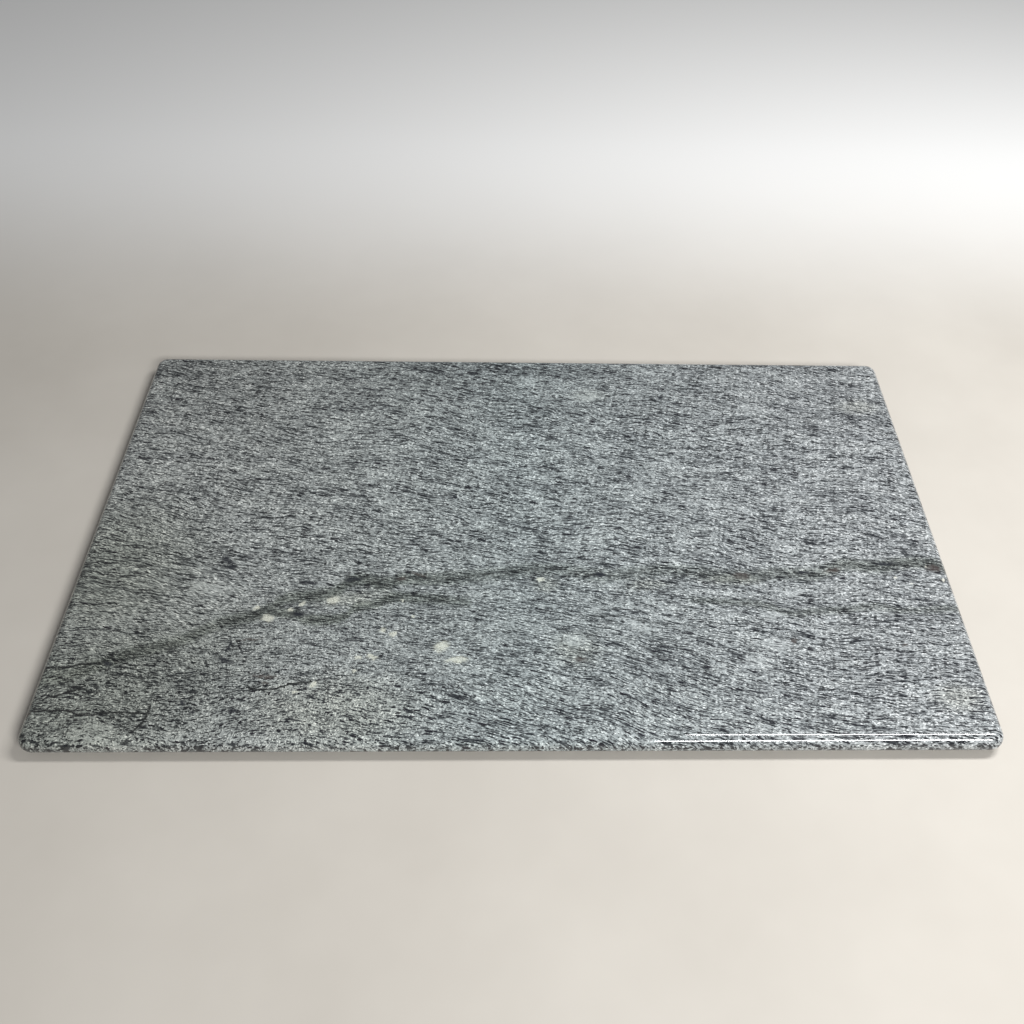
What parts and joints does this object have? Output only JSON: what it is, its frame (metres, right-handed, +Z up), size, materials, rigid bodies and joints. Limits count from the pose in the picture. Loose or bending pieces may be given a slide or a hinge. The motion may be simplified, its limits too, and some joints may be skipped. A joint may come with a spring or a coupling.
{
  "type": "granite slab",
  "caption": "Polished grey-green granite table-top slab with a fully rounded edge and small corner radii, mesh backed and resting on clear bumper pads.",
  "frame": {"origin": "middle of the slab in plan, on the surface that the bumper pads stand on", "axes": "+X along the slab's length, +Y across its width away from the front edge, +Z up out of the polished face"},
  "size_m": [1.3, 0.8, 0.034],
  "materials": {
    "granite": "polished, fine grey-green matrix with short blue-black mica streaks and one dark vein",
    "resin_mesh": "woven glass fibre set in satin epoxy",
    "clear_pad": "clear polyurethane, smooth"
  },
  "bodies": {
    "root": {"granite_slab": "granite", "mesh_backing": "resin_mesh", "pad_front_1": "clear_pad", "pad_front_2": "clear_pad", "pad_front_3": "clear_pad", "pad_front_4": "clear_pad", "pad_back_1": "clear_pad", "pad_back_2": "clear_pad", "pad_back_3": "clear_pad", "pad_back_4": "clear_pad"}
  },
  "joints": []
}
